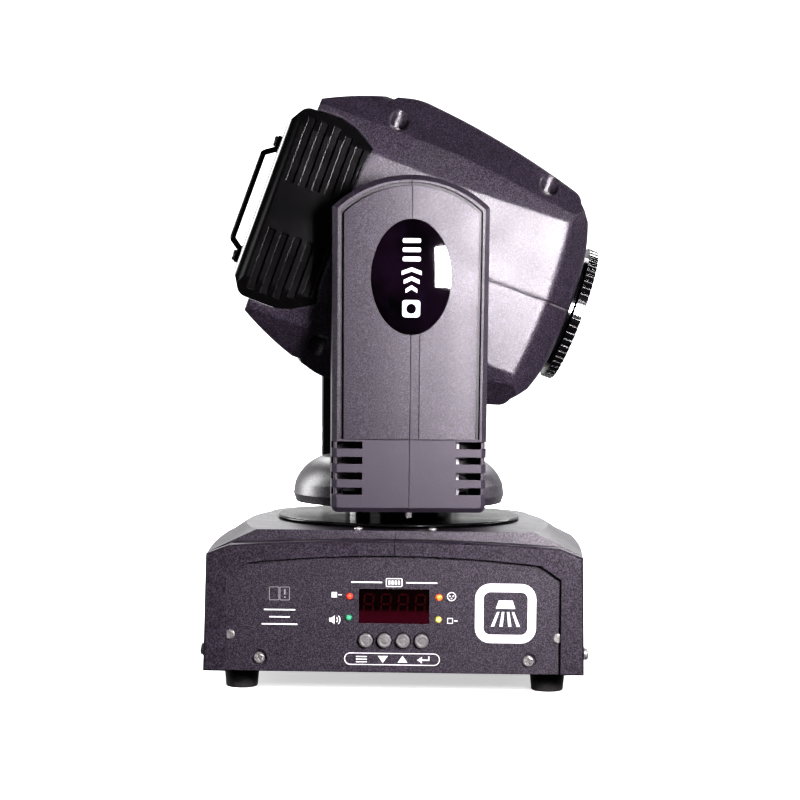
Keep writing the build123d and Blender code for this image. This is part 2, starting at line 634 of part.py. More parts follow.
def make_tilt_drive():
    outer_y = -UPRIGHT_Y - UPRIGHT_THICK
    motor = Pos(0, outer_y, TILT_MOTOR_Z) * Rot(-90, 0, 0) * motor_body(17, 2.5, 9.5)
    save("tilt_motor", motor, in_yoke)
    pulley = toothed_pulley(MOTOR_PULLEY_R, 2.5 + FIT, 0, TILT_PULLEY_WIDTH, 20)
    save("tilt_motor_pulley", Pos(0, TILT_PULLEY_Y, TILT_MOTOR_Z) * Rot(90, 0, 0) * pulley, in_yoke)
    loop = belt_loop(PIVOT_Z - TILT_MOTOR_Z, TILT_PULLEY_R, MOTOR_PULLEY_R, TILT_PULLEY_WIDTH - 2.6)
    save("tilt_belt", Pos(0, TILT_PULLEY_Y - 1.3, PIVOT_Z) * Rot(90, 0, 0) * Rot(0, 0, -90) * loop, in_yoke)


# ------------------------------------------------------------------ head


def mirrored_outline(edges, start_x, end_x):
    """Joins an outline drawn above the X axis, from start_x round to end_x, with its mirror image."""
    half = closed_face(*edges, Line((end_x, 0), (start_x, 0)))
    return half + mirror(half, Plane.XZ)


def drawn_in(points, inset):
    """Moves outline points in towards the pivot: ends along X, and everything along the other axis."""
    moved = []
    for x, y in points:
        shift = math.copysign(inset, x) if abs(x) > 90 else 0
        moved.append((x - shift, y - inset if y else 0))
    return moved


def side_profile(inset):
    p = drawn_in([
        (HEAD_FRONT, 0), (HEAD_FRONT, 15), (126.6, 43), (119.5, 66), (110, 77.5), (108, 81.5), (104, 84.3),
        (41, 100.4), (-17, 108.8), (-28, 109), (-39, 106.5), (-67, 97.3), (-97, 82.8), (-98, 0),
    ], inset)
    edges = [
        Line(p[0], p[1]), ThreePointArc(p[1], p[2], p[3]), Line(p[3], p[4]), ThreePointArc(p[4], p[5], p[6]),
        ThreePointArc(p[6], p[7], p[8]), ThreePointArc(p[8], p[9], p[10]), ThreePointArc(p[10], p[11], p[12]),
        Line(p[12], p[13]),
    ]
    return mirrored_outline(edges, p[0][0], p[13][0])


def plan_profile(inset):
    p = drawn_in([
        (HEAD_FRONT, 0), (HEAD_FRONT, 50), (128.8, 56), (125, 60.4), (114.5, 69.3), (110.8, 71.3),
        (106.5, HEAD_HALF_WIDTH), (-120, HEAD_HALF_WIDTH), (-120, 0),
    ], inset)
    edges = [
        Line(p[0], p[1]), ThreePointArc(p[1], p[2], p[3]), Line(p[3], p[4]),
        ThreePointArc(p[4], p[5], p[6]), Line(p[6], p[7]), Line(p[7], p[8]),
    ]
    return mirrored_outline(edges, p[0][0], p[8][0])


def facet_section(mid_w, mid_u, top_w, low_u):
    """Head cross-section with flat sides and two facets at each corner; X is up and Y is across."""
    w = HEAD_HALF_WIDTH
    quarter = [(low_u, w), (mid_u, mid_w), (118, top_w)]
    upper = quarter + [(x, -y) for x, y in reversed(quarter)]
    return polygon(upper + [(-x, -y) for x, y in upper])


def faceted_bar(inset):
    sections = []
    for x, mid_w, mid_u, top_w, low_u in FACETS:
        section = facet_section(mid_w, mid_u, top_w, low_u)
        if inset:
            section = offset(section, -inset, kind=Kind.INTERSECTION)
        sections.append(Pos(x, 0, 0) * Rot(0, -90, 0) * section)
    return loft(Sketch() + sections, ruled=True)


def crowned_plan(inset):
    """The plan outline swept on an arc about a cross axis behind the head, so the front face bulges."""
    centre_x = HEAD_FRONT - HEAD_CROWN_R
    start = Pos(centre_x, 0, 0) * Rot(0, -HEAD_CROWN_ARC / 2, 0) * Pos(-centre_x, 0, 0) * plan_profile(inset)
    return revolve(start, Axis((centre_x, 0, 0), (0, 1, 0)), HEAD_CROWN_ARC)


def head_form(inset):
    return prism_y(side_profile(inset), -80, 80) & crowned_plan(inset) & faceted_bar(inset)


def cover_profile():
    """Side view of the rear cover: a cap with a pointed wing above and below."""
    points = [(COVER_REAR, 58), (-105.5, 73), (-78, 73.4), (-66, 70.2), (-49.5, 60.4), (-53.4, 43.7)]
    face = polygon(points + [(x, -z) for x, z in reversed(points)])
    rear_corners = face.vertices().group_by(Axis.X)[1]
    face = fillet(rear_corners, 9)
    return fillet(face.vertices().group_by(Axis.X)[0], 12)


def cover_form(inset, reach):
    side = cover_profile()
    if inset:
        side = offset(side, -inset, kind=Kind.INTERSECTION)
    form = prism_y(side, -80, 80)
    if reach:
        form += block(-60, -60 + reach, -70, 70, -58, 58)
    half = HEAD_HALF_WIDTH - inset + 0.2
    rear = COVER_REAR + inset - 0.2
    plan = polygon([(rear, -half), (20, -half), (20, half), (rear, half)])
    plan = fillet(plan.vertices().group_by(Axis.X)[0], 12)
    return form & (Pos(0, 0, -120) * extrude(plan, 240, dir=(0, 0, 1))) & faceted_bar(inset)


def groove_pad():
    """Thick pad under the grooves at the rear of the top."""
    x, z = GROOVE_FIRST
    across, rise = GROOVE_STEP
    end_x = x + across * GROOVE_COUNT - 4
    end_z = z + rise * GROOVE_COUNT
    face = polygon([(x - 4, z - 5), (end_x, end_z - 5), (end_x, end_z + 30), (x - 4, z + 30)])
    return prism_y(face, -GROOVE_HALF_WIDTH - 3, GROOVE_HALF_WIDTH + 3)


def grooves():
    """Saw-tooth grooves across the rear of the top: a short steep side to the rear, a long side in front."""
    cuts = []
    for k in range(GROOVE_COUNT):
        x = GROOVE_FIRST[0] + GROOVE_STEP[0] * k
        z = GROOVE_FIRST[1] + GROOVE_STEP[1] * k
        face = polygon([(x - 4.2, z + 3.4), (x, z), (x + 6.2, z + 7.4), (x + 6.2, z + 20), (x - 4.2, z + 20)])
        cuts.append(prism_y(face, -GROOVE_HALF_WIDTH, GROOVE_HALF_WIDTH))
    return cuts


def upper_half_shell():
    """Everything of the head shell above the split."""
    form = head_form(0)
    shell = (form - head_form(HEAD_WALL)) + (groove_pad() & form)
    for cut in grooves():
        shell -= cut
    for x, y, z in POCKETS:
        for across in (-y, y):
            floor_z = z - POCKET_DEPTH
            shell += rod_z(POCKET_R + 2.2, floor_z - POCKET_FLOOR, z + 20, x, across) & form
            shell -= rod_z(POCKET_R, floor_z, z + 40, x, across)
            shell -= rod_z(1.9, floor_z - POCKET_FLOOR - 4, z, x, across)
    shell -= prism_y(offset(cover_profile(), 0.3), -80, 80)
    shell -= block(-130, -52.4, -100, 100, -60, 60)
    shell -= rod_x(LENS_NECK_R + 0.1, 110, 140)
    shell -= rod_y(TRUNNION_R + 3, -80, 80)
    return shell & block(-200, 200, -100, 100, 0.1, 150)


def make_head_shells():
    shell = upper_half_shell()
    save("head_shell_upper", shell, in_head)
    save("head_shell_lower", mirror(shell, Plane.XY), in_head)
    screws = []
    for side in (-1, 1):
        for x, y, z in POCKETS:
            for across in (-y, y):
                turn = Rot(0, 0, 20) if side > 0 else Rot(180, 0, 20)
                screws.append(Pos(x, across, side * (z - POCKET_DEPTH)) * turn * screw(3.6, 2.4, 1.8, 8))
    for z in (-46, 46):
        screws.append(Pos(COVER_REAR - 3.2, 0, z) * Rot(0, -90, 0) * screw(4.2, 2.4, 1.8, 8))
    save("head_screws", screws, in_head)


def make_rear_cover():
    cover = cover_form(0, 0) - cover_form(COVER_WALL, 30)
    for side in (-1, 1):
        for k, top in enumerate(SLOT_TOPS):
            x = SLOT_FIRST_X + k * SLOT_PITCH
            for low, high in ((16.7, top), (-top, -19.5)):
                near, far = sorted((side * (HEAD_HALF_WIDTH - 3.4), side * 80))
                cover -= block(x - 3.0, x + 3.0, near, far, low, high)
    for k in range(7):
        z = -36 + k * 12
        for side in (-1, 1):
            near, far = sorted((side * 12, side * 46))
            cover -= block(-120, -108, near, far, z - 2.2, z + 2.2)
    for z in (-46, 46):
        cover -= rod_x(1.9, -120, -105, 0, z)
    save("rear_cover", cover, in_head)


def make_rear_handle():
    """Bent bar behind the rear cover, with a flattened eye at each end."""
    bar_x = COVER_REAR - BAR_OFFSET
    path = FilletPolyline(
        (COVER_REAR - 2.0, 0, 40), (bar_x, 0, 34.5), (bar_x, 0, -34.5), (COVER_REAR - 2.0, 0, -40), radius=3.5
    )
    start = Plane(origin=path @ 0, z_dir=path % 0)
    bar = sweep(start * Circle(BAR_R), path=path)
    for z in (-46, 46):
        eye = rod_x(5.2, COVER_REAR - 3.2, COVER_REAR - 0.2, 0, z)
        eye += block(COVER_REAR - 3.2, COVER_REAR - 0.4, -2.6, 2.6, min(z, z * 0.82), max(z, z * 0.82))
        bar += eye - rod_x(2.1, -130, -110, 0, z)
    save("rear_handle", bar, in_head)


def make_head_chassis():
    """Two side plates with the hollow shafts that the head tilts on, and the plate behind the lens."""
    plates = []
    for side in (-1, 1):
        def across(low, high, side=side):
            return sorted((side * low, side * high))

        near, far = across(57.5, 60)
        plate = block(-52, 98, near, far, -34, 34)
        plate += rod_y(20, *across(60, 64)) + rod_y(TRUNNION_R - FIT, *across(60, UPRIGHT_Y + 9))
        plates.append(plate - rod_y(5.5, *across(50, 110)))
    plates.append(block(98, 100.5, -60, 60, -52, 52) - rod_x(LENS_NECK_R, 90, 110))
    save("head_chassis", plates, in_head)
    pulley = toothed_pulley(TILT_PULLEY_R, TRUNNION_R - FIT, 0, TILT_PULLEY_WIDTH, 75)
    save("tilt_pulley", Pos(0, TILT_PULLEY_Y, 0) * Rot(90, 0, 0) * pulley, in_head)


def make_light_engine():
    sink = block(-56, -51, -38, 38, -38, 38)
    for k in range(11):
        y = -36.5 + k * 7.3
        sink += block(-92, -56, y - 0.9, y + 0.9, -38, 38)
    save("heat_sink", sink, in_head)
    engine = block(-51, -49, -28, 28, -28, 28) + block(-49, -47.5, -9, 9, -9, 9)
    holder = block(-49, -30, -28, 28, -28, 28) - rod_x(22.5, -60, -37.9) - rod_x(24.05, -38, -20)
    save("led_engine", engine + holder, in_head)
    lens = rod_x(24, -38, -22)
    save("condenser_lens", fillet(lens.edges().group_by(Axis.X)[-1], 12), in_head)


def filter_wheel(x, thick, holes, hole_r):
    wheel = rod_x(46, x, x + thick, 0, WHEEL_CENTRE_Z) + rod_x(8, x - 2, x + thick + 1, 0, WHEEL_CENTRE_Z)
    for k in range(holes):
        angle = math.radians(-90 + 360 / holes * k)
        y, z = 35 * math.cos(angle), WHEEL_CENTRE_Z + 35 * math.sin(angle)
        wheel -= rod_x(hole_r, x - 1, x + thick + 1, y, z)
    return wheel - rod_x(2.5 + FIT, x - 5, x + thick + 5, 0, WHEEL_CENTRE_Z)


def make_wheels():
    save("gobo_wheel", filter_wheel(GOBO_X, 1.5, 8, 11.5), in_head)
    save("colour_wheel", filter_wheel(COLOUR_X, 1.2, 8, 11.5), in_head)
    gobo_motor = Pos(46, 0, WHEEL_CENTRE_Z) * Rot(0, -90, 0) * motor_body(28, 2.5, 23)
    colour_motor = Pos(-4, 0, WHEEL_CENTRE_Z) * Rot(0, 90, 0) * motor_body(15, 2.5, 17)
    save("wheel_motors", [gobo_motor, colour_motor], in_head)


def make_focus():
    neck = rod_x(LENS_NECK_R, 88, 139) - rod_x(BARREL_R + FIT, 80, 145)
    save("lens_neck", neck, in_head)
    ring = rod_x(RING_R - 1.4, RING_BACK, RING_FRONT)
    rib_width = math.pi * RING_R / RING_RIBS
    for k in range(RING_RIBS):
        rib = block(RING_BACK, RING_FRONT, RING_R - 3, RING_R, -rib_width / 2, rib_width / 2)
        ring += Rot(360 / RING_RIBS * k, 0, 0) * rib
    ring -= rod_x(LENS_NECK_R + FIT, 130, RING_FRONT - 1.6) + rod_x(37, 130, 150)
    save("focus_ring", ring, in_head)
    barrel = rod_x(BARREL_R, 98, 131) - rod_x(37.6, 90, 140)
    save("lens_barrel", barrel, in_head)
    lens = rod_x(37.5, 110, 124)
    lens = fillet(lens.edges().group_by(Axis.X)[-1], 7)
    save("front_lens", fillet(lens.edges().group_by(Axis.X)[0], 5), in_head)


def make_fan():
    frame = block(-109, -98, -36, 36, -36, 36) - rod_x(33, -112, -95)
    frame += rod_x(13, -100, -98) + rod_x(2.0, -108.5, -98)
    for k in range(4):
        arm = block(-99.6, -98, -1.6, 1.6, 0, 34)
        frame += Rot(45 + 90 * k, 0, 0) * arm
    save("fan_frame", frame, in_head)
    rotor = rod_x(13.5, -108.6, -100.5)
    for k in range(7):
        blade = Pos(-104.5, 0, 22) * Rot(0, 0, 38) * Box(8.5, 1.4, 19)
        rotor += Rot(360 / 7 * k, 0, 0) * blade
    rotor &= rod_x(31.5, -108.8, -100.4)
    save("fan_rotor", rotor - rod_x(2.0 + FIT, -120, -90), in_head)


def main():
    os.makedirs("parts", exist_ok=True)
    make_base_shells()
    make_chassis()
    make_feet()
    make_front_panel()
    make_display()
    make_leds()
    make_buttons()
    make_control_board()
    make_base_screws()
    make_xlr_sockets()
    make_power_inlet()
    make_power_supply()
    make_pan_drive()
    make_turntable()
    make_yoke_base()
    make_arms()
    make_tilt_drive()
    make_head_shells()
    make_rear_cover()
    make_rear_handle()
    make_head_chassis()
    make_light_engine()
    make_wheels()
    make_focus()
    make_fan()


main()
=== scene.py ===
import math

import bpy
from mathutils import Matrix, Vector


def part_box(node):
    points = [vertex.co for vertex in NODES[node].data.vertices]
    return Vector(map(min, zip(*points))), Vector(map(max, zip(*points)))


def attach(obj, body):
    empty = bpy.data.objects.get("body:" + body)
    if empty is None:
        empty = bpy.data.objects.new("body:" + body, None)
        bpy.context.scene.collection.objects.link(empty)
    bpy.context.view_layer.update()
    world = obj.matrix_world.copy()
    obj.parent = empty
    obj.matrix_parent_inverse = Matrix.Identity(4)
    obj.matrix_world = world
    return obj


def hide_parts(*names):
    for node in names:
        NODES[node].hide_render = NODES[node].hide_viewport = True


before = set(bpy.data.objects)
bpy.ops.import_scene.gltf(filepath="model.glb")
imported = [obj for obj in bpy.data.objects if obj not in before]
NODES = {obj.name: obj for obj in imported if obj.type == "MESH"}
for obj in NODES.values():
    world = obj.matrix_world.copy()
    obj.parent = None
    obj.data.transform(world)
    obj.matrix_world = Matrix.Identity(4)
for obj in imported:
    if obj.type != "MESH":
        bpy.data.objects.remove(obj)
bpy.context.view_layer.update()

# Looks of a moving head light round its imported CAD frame. Metres; millimetre sizes are multiplied by MM.

MM = 0.001


# ------------------------------------------------------------------ materials


class Tree:
    """A material's node tree, with its Principled shader and the object's own coordinates ready."""

    def __init__(self, name):
        self.material = bpy.data.materials.new(name)
        self.material.use_nodes = True
        self.nodes = self.material.node_tree.nodes
        self.links = self.material.node_tree.links
        self.nodes.clear()
        self.shader = self.nodes.new("ShaderNodeBsdfPrincipled")
        output = self.nodes.new("ShaderNodeOutputMaterial")
        self.links.new(self.shader.outputs["BSDF"], output.inputs["Surface"])
        self.coords = self.nodes.new("ShaderNodeTexCoord").outputs["Object"]

    def put(self, target, value):
        """Sets an input socket to a number or colour, or links another node's output to it."""
        if isinstance(value, bpy.types.NodeSocket):
            self.links.new(value, target)
        else:
            target.default_value = value

    def add(self, kind, inputs, **settings):
        node = self.nodes.new("ShaderNode" + kind)
        for key, value in settings.items():
            setattr(node, key, value)
        for key, value in inputs.items():
            self.put(node.inputs[key], value)
        return node

    def shade(self, **inputs):
        for key, value in inputs.items():
            self.put(self.shader.inputs[key.replace("_", " ")], value)

    def noise(self, size_mm, detail=2.0, rough=0.55, stretch=None):
        """Noise with features of about size_mm, from 0 to 1."""
        vector = self.coords
        if stretch:
            vector = self.add("Mapping", {"Vector": vector, "Scale": stretch}).outputs["Vector"]
        scale = 1 / (size_mm * MM)
        inputs = {"Vector": vector, "Scale": scale, "Detail": detail, "Roughness": rough}
        return self.add("TexNoise", inputs).outputs["Fac"]

    def remap(self, value, low, high, to_low=0.0, to_high=1.0, smooth=False):
        kind = "SMOOTHSTEP" if smooth else "LINEAR"
        inputs = {"Value": value, "From Min": low, "From Max": high, "To Min": to_low, "To Max": to_high}
        return self.add("MapRange", inputs, interpolation_type=kind).outputs["Result"]

    def math(self, operation, a, b):
        node = self.add("Math", {}, operation=operation)
        self.put(node.inputs[0], a)
        self.put(node.inputs[1], b)
        return node.outputs["Value"]

    def mix(self, factor, a, b):
        node = self.add("Mix", {}, data_type="RGBA")
        self.put(node.inputs["Factor"], factor)
        self.put(node.inputs[6], a)
        self.put(node.inputs[7], b)
        return node.outputs[2]

    def height(self):
        """The Z of the point on the object, in metres."""
        return self.add("SeparateXYZ", {"Vector": self.coords}).outputs["Z"]

    def rounded(self, radius_mm):
        """Normal that rounds sharp edges, and a mask that is 1 on them."""
        soft = self.add("Bevel", {"Radius": radius_mm * MM}, samples=4).outputs["Normal"]
        plain = self.add("NewGeometry", {}).outputs["Normal"]
        dot = self.add("VectorMath", {}, operation="DOT_PRODUCT")
        self.put(dot.inputs[0], soft)
        self.put(dot.inputs[1], plain)
        return soft, self.remap(dot.outputs["Value"], 0.995, 0.86)

    def painted_cavity_shade(self, reach_mm):
        """Painted shade mask: 1 in deep pockets and slots, 0 on open faces."""
        open_air = self.add("AmbientOcclusion", {"Distance": reach_mm * MM}, samples=4).outputs["AO"]
        return self.remap(open_air, 0.25, 0.62, 1.0, 0.0)

    def bump(self, height, depth_mm, normal=None, strength=1.0):
        inputs = {"Height": height, "Distance": depth_mm * MM, "Strength": strength}
        if normal is not None:
            inputs["Normal"] = normal
        return self.add("Bump", inputs).outputs["Normal"]


def rgb(r, g, b):
    return (r, g, b, 1.0)


def moulded(
    name, dark, light, worn, rough, grain_mm, depth_mm, edge_mm=0.5, smooth_below=None, rub_and_sheen_most=0.8
):
    """Moulded plastic: fine grain in colour and height, cloudy gloss, paler rubbed edges, and painted shade
    in pockets and slots.

    smooth_below is a height under which the mould is polished and the grain fades out.
    rub_and_sheen_most is how pale the edges get where they are rubbed most; where the edges are wide this
    paleness is also a painted highlight."""
    t = Tree(name)
    grain = t.noise(grain_mm, 3.0, 0.7)
    clouds = t.noise(38, 4.0, 0.6)
    speck = t.remap(grain, 0.42, 0.68)
    if smooth_below is not None:
        rise = t.remap(t.height(), smooth_below - 0.2 * MM, smooth_below + 0.2 * MM, 0.12, 1.0)
        speck = t.mix(rise, rgb(0.45, 0.45, 0.45), speck)
        grain = t.math("MULTIPLY", grain, rise)
    colour = t.mix(speck, dark, light)
    colour = t.mix(t.remap(clouds, 0.35, 0.7, 0.0, 0.3), colour, dark)
    soft, edge = t.rounded(edge_mm)
    # Pale rubbed edges: edge wear, and where the edges are wide, as on the head, also a painted highlight
    # along their crests.
    rub = t.math("MULTIPLY", edge, t.remap(t.noise(4.0, 3.0), 0.35, 0.65, 0.15, rub_and_sheen_most))
    # Painted shade: pockets, slots and vents are darkened towards black where shade falls in them.
    colour = t.mix(t.painted_cavity_shade(9.0), t.mix(rub, colour, worn), rgb(0.002, 0.002, 0.002))
    t.shade(Base_Color=colour)
    t.shade(Roughness=t.remap(clouds, 0.3, 0.7, rough - 0.05, rough + 0.06))
    t.shade(Normal=t.bump(grain, depth_mm, soft), Specular_IOR_Level=0.5)
    return t.material


def glossy(name, dark, light, rough):
    """Polished black plastic: faint flow marks, dust specks and fine handling scratches."""
    t = Tree(name)
    flow = t.noise(24, 3.0, 0.6)
    dust = t.remap(t.noise(0.9, 2.0, 0.5), 0.70, 0.76)
    scratch = t.remap(t.noise(7, 5.0, 0.7, (1.0, 0.06, 1.0)), 0.62, 0.70)
    colour = t.mix(t.remap(flow, 0.3, 0.7), dark, light)
    soft, edge = t.rounded(0.4)
    colour = t.mix(t.math("MULTIPLY", dust, 0.18), colour, rgb(0.3, 0.3, 0.3))
    t.shade(Base_Color=t.mix(t.math("MULTIPLY", edge, 0.35), colour, rgb(0.10, 0.10, 0.10)))
    wear = t.math("ADD", t.math("MULTIPLY", scratch, 0.10), t.remap(flow, 0.3, 0.7, 0.0, 0.05))
    t.shade(Roughness=t.math("ADD", wear, rough), Normal=t.bump(flow, 0.05, soft, 0.5))
    return t.material


def painted_steel(name, dark, light, rough):
    """Powder coat: a tight orange-peel skin with paler specks, chipped a little on its edges."""
    t = Tree(name)
    peel = t.noise(1.0, 2.0, 0.6)
    fine = t.noise(0.8, 2.0, 0.6)
    clouds = t.noise(55, 3.0, 0.6)
    colour = t.mix(t.remap(fine, 0.44, 0.66), dark, light)
    colour = t.mix(t.remap(clouds, 0.35, 0.7, 0.0, 0.22), colour, dark)
    soft, edge = t.rounded(0.3)
    chip = t.math("MULTIPLY", edge, t.remap(t.noise(2.5, 4.0), 0.5, 0.62))
    t.shade(Base_Color=t.mix(chip, colour, rgb(0.30, 0.29, 0.29)))
    t.shade(Roughness=t.remap(clouds, 0.3, 0.7, rough - 0.04, rough + 0.05))
    t.shade(Normal=t.bump(fine, 0.06, t.bump(peel, 0.08, soft)))
    return t.material


def metal(name, dark, light, rough, brushed=(1.0, 1.0, 1.0), metallic=1.0):
    """Bare or plated metal: brushed streaks, stains in the gloss and brighter edges."""
    t = Tree(name)
    streak = t.noise(1.2, 4.0, 0.65, brushed)
    stain = t.noise(14, 4.0, 0.6)
    soft, edge = t.rounded(0.25)
    colour = t.mix(t.remap(streak, 0.3, 0.7), dark, light)
    t.shade(Base_Color=t.mix(t.math("MULTIPLY", edge, 0.5), colour, rgb(0.8, 0.8, 0.8)))
    t.shade(Metallic=metallic, Roughness=t.remap(stain, 0.3, 0.7, rough - 0.06, rough + 0.1))
    t.shade(Normal=t.bump(streak, 0.02, soft))
    return t.material


def rubber(name, dark, light):
    t = Tree(name)
    pores = t.noise(0.8, 4.0, 0.7)
    dust = t.remap(t.height(), -16 * MM, -9 * MM, 0.35, 0.0)
    colour = t.mix(t.remap(pores, 0.3, 0.7), dark, light)
    soft = t.rounded(0.6)[0]
    t.shade(Base_Color=t.mix(t.math("MULTIPLY", dust, pores), colour, rgb(0.22, 0.21, 0.20)))
    t.shade(Roughness=t.remap(pores, 0.3, 0.7, 0.62, 0.8), Normal=t.bump(pores, 0.12, soft))
    return t.material


def circuit_board(name):
    t = Tree(name)
    cells = t.add("TexVoronoi", {"Vector": t.coords, "Scale": 260.0}, distance="MANHATTAN")
    mask = t.remap(cells.outputs["Distance"], 0.30, 0.34)
    weave = t.noise(0.6, 2.0)
    base = t.mix(weave, rgb(0.012, 0.07, 0.03), rgb(0.02, 0.10, 0.045))
    t.shade(Base_Color=t.mix(mask, base, rgb(0.03, 0.16, 0.06)))
    t.shade(Roughness=t.remap(weave, 0.3, 0.7, 0.3, 0.45), Normal=t.bump(mask, 0.04))
    return t.material


def red_window(name):
    """Smoked red filter over the display, with a paler band along its foot and a few fine scratches."""
    t = Tree(name)
    low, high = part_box("display_window")
    foot = t.remap(t.height(), low.z + 12.0 * MM, low.z + 8.5 * MM, 0.0, 1.0, True)
    haze = t.noise(9, 4.0, 0.65)
    scratch = t.remap(t.noise(3, 5.0, 0.7, (0.05, 1.0, 1.0)), 0.66, 0.72)
    colour = t.mix(t.remap(haze, 0.3, 0.7), rgb(0.0035, 0.0008, 0.0012), rgb(0.007, 0.0012, 0.002))
    colour = t.mix(t.math("MULTIPLY", foot, 0.85), colour, rgb(0.045, 0.004, 0.012))
    t.shade(Base_Color=colour, Roughness=t.math("ADD", t.math("MULTIPLY", scratch, 0.1), 0.07))
    t.shade(Normal=t.bump(haze, 0.01), Coat_Weight=0.3, Coat_Roughness=0.05)
    return t.material


def digit_red(name):
    t = Tree(name)
    spots = t.noise(0.6, 3.0)
    t.shade(Base_Color=t.mix(spots, rgb(0.020, 0.0022, 0.003), rgb(0.040, 0.004, 0.006)))
    t.shade(Roughness=t.remap(spots, 0.3, 0.7, 0.12, 0.22), Normal=t.bump(spots, 0.01))
    return t.material


def led_resin(name, deep, pale, glow):
    """Tinted diffusing resin, paler at the tip where it is thinnest, glowing faintly."""
    t = Tree(name)
    cloud = t.noise(1.2, 3.0)
    facing = t.add("LayerWeight", {"Blend": 0.35}).outputs["Facing"]
    colour = t.mix(t.remap(facing, 0.05, 0.75), pale, deep)
    t.shade(Base_Color=t.mix(t.math("MULTIPLY", cloud, 0.3), colour, deep))
    t.shade(Roughness=t.remap(cloud, 0.3, 0.7, 0.08, 0.16), Coat_Weight=0.6, Coat_Roughness=0.05)
    t.shade(Subsurface_Weight=0.25, Subsurface_Scale=0.0015, Emission_Color=deep, Emission_Strength=glow)
    return t.material


def button_resin(name):
    t = Tree(name)
    cloud = t.noise(2.2, 4.0)
    grime = t.remap(t.noise(5, 4.0, 0.65), 0.48, 0.7, 0.0, 0.35)
    soft = t.rounded(0.25)[0]
    colour = t.mix(cloud, rgb(0.155, 0.152, 0.150), rgb(0.225, 0.222, 0.220))
    colour = t.mix(grime, colour, rgb(0.07, 0.068, 0.066))
    # Painted shade: the cap's grooves and the gap round its foot are darkened towards black.
    t.shade(Base_Color=t.mix(t.painted_cavity_shade(2.5), colour, rgb(0.01, 0.01, 0.01)))
    t.shade(Roughness=t.remap(cloud, 0.3, 0.7, 0.28, 0.4), Normal=t.bump(cloud, 0.03, soft))
    return t.material


def print_ink(name, colour, thin):
    """Screen-printed ink: slightly uneven cover with pinholes."""
    t = Tree(name)
    cover = t.noise(0.5, 3.0, 0.7)
    t.shade(Base_Color=t.mix(t.remap(cover, 0.28, 0.40), thin, colour))
    t.shade(Roughness=t.remap(cover, 0.3, 0.7, 0.45, 0.6), Normal=t.bump(cover, 0.015))
    return t.material


def clear_glass(name, tint):
    t = Tree(name)
    coating = t.noise(30, 2.0)
    t.shade(Base_Color=t.mix(coating, tint, rgb(0.86, 0.90, 1.0)))
    t.shade(Roughness=t.remap(coating, 0, 1, 0.0, 0.02))
    t.shade(Transmission_Weight=1.0, IOR=1.5, Coat_Weight=0.25, Coat_Tint=rgb(0.55, 0.45, 1.0))
    return t.material


def badge_resin(name):
    """Clear resin dome over a near-black violet label."""
    t = Tree(name)
    depth = t.noise(26, 4.0, 0.6)
    streak = t.noise(16, 3.0, 0.6, (1.0, 1.0, 0.3))
    colour = t.mix(t.remap(depth, 0.35, 0.65), rgb(0.0025, 0.0015, 0.003), rgb(0.012, 0.005, 0.013))
    colour = t.mix(t.remap(streak, 0.55, 0.75, 0.0, 0.5), colour, rgb(0.016, 0.012, 0.034))
    t.shade(Base_Color=colour, Roughness=t.remap(streak, 0.3, 0.7, 0.03, 0.07))
    t.shade(Normal=t.bump(depth, 0.03), Coat_Weight=1.0, Coat_Roughness=0.02)
    return t.material


WORN = rgb(0.13, 0.125, 0.13)
LOOKS = {
    "shell_plastic": moulded(
        "shell_plastic", rgb(0.010, 0.0082, 0.0115), rgb(0.118, 0.098, 0.130), WORN, 0.34, 0.95, 0.10
    ),
    "smooth_plastic": moulded(
        "smooth_plastic", rgb(0.026, 0.023, 0.027), rgb(0.045, 0.040, 0.046), WORN, 0.36, 0.6, 0.02
    ),
    "black_plastic": moulded(
        "black_plastic", rgb(0.004, 0.004, 0.004), rgb(0.010, 0.009, 0.010), rgb(0.05, 0.05, 0.05),
        0.18, 0.9, 0.02,
    ),
    "gloss_black": glossy("gloss_black", rgb(0.004, 0.004, 0.004), rgb(0.009, 0.009, 0.010), 0.10),
    "panel_paint": painted_steel("panel_paint", rgb(0.018, 0.0150, 0.0205), rgb(0.110, 0.094, 0.120), 0.42),
    "steel": metal("steel", rgb(0.30, 0.30, 0.31), rgb(0.50, 0.50, 0.51), 0.34, (1.0, 1.0, 0.1)),
    "aluminium": metal("aluminium", rgb(0.52, 0.53, 0.54), rgb(0.70, 0.70, 0.71), 0.32, (0.1, 1.0, 1.0)),
    "screw_steel": metal("screw_steel", rgb(0.26, 0.25, 0.24), rgb(0.48, 0.47, 0.46), 0.28, metallic=0.5),
    "nickel": metal("nickel", rgb(0.48, 0.46, 0.42), rgb(0.66, 0.64, 0.60), 0.2),
    "rubber": rubber("rubber", rgb(0.008, 0.008, 0.008), rgb(0.018, 0.018, 0.018)),
    "belt": rubber("belt", rgb(0.006, 0.006, 0.006), rgb(0.014, 0.014, 0.014)),
    "board": circuit_board("board"),
    "window": red_window("window"),
    "digits": digit_red("digits"),
    "led_plastic": led_resin("led_plastic", rgb(0.5, 0.03, 0.02), rgb(0.9, 0.3, 0.2), 0.1),
    "button": button_resin("button"),
    "lens_glass": clear_glass("lens_glass", rgb(0.92, 0.95, 1.0)),
    "wheel": metal("wheel", rgb(0.45, 0.45, 0.46), rgb(0.60, 0.60, 0.61), 0.25),
}
ARM_STEP_Z = 168 * MM
arm_look = moulded(
    "arm_plastic", rgb(0.018, 0.0145, 0.021), rgb(0.098, 0.082, 0.110), WORN, 0.40, 0.9, 0.08,
    smooth_below=ARM_STEP_Z,
)
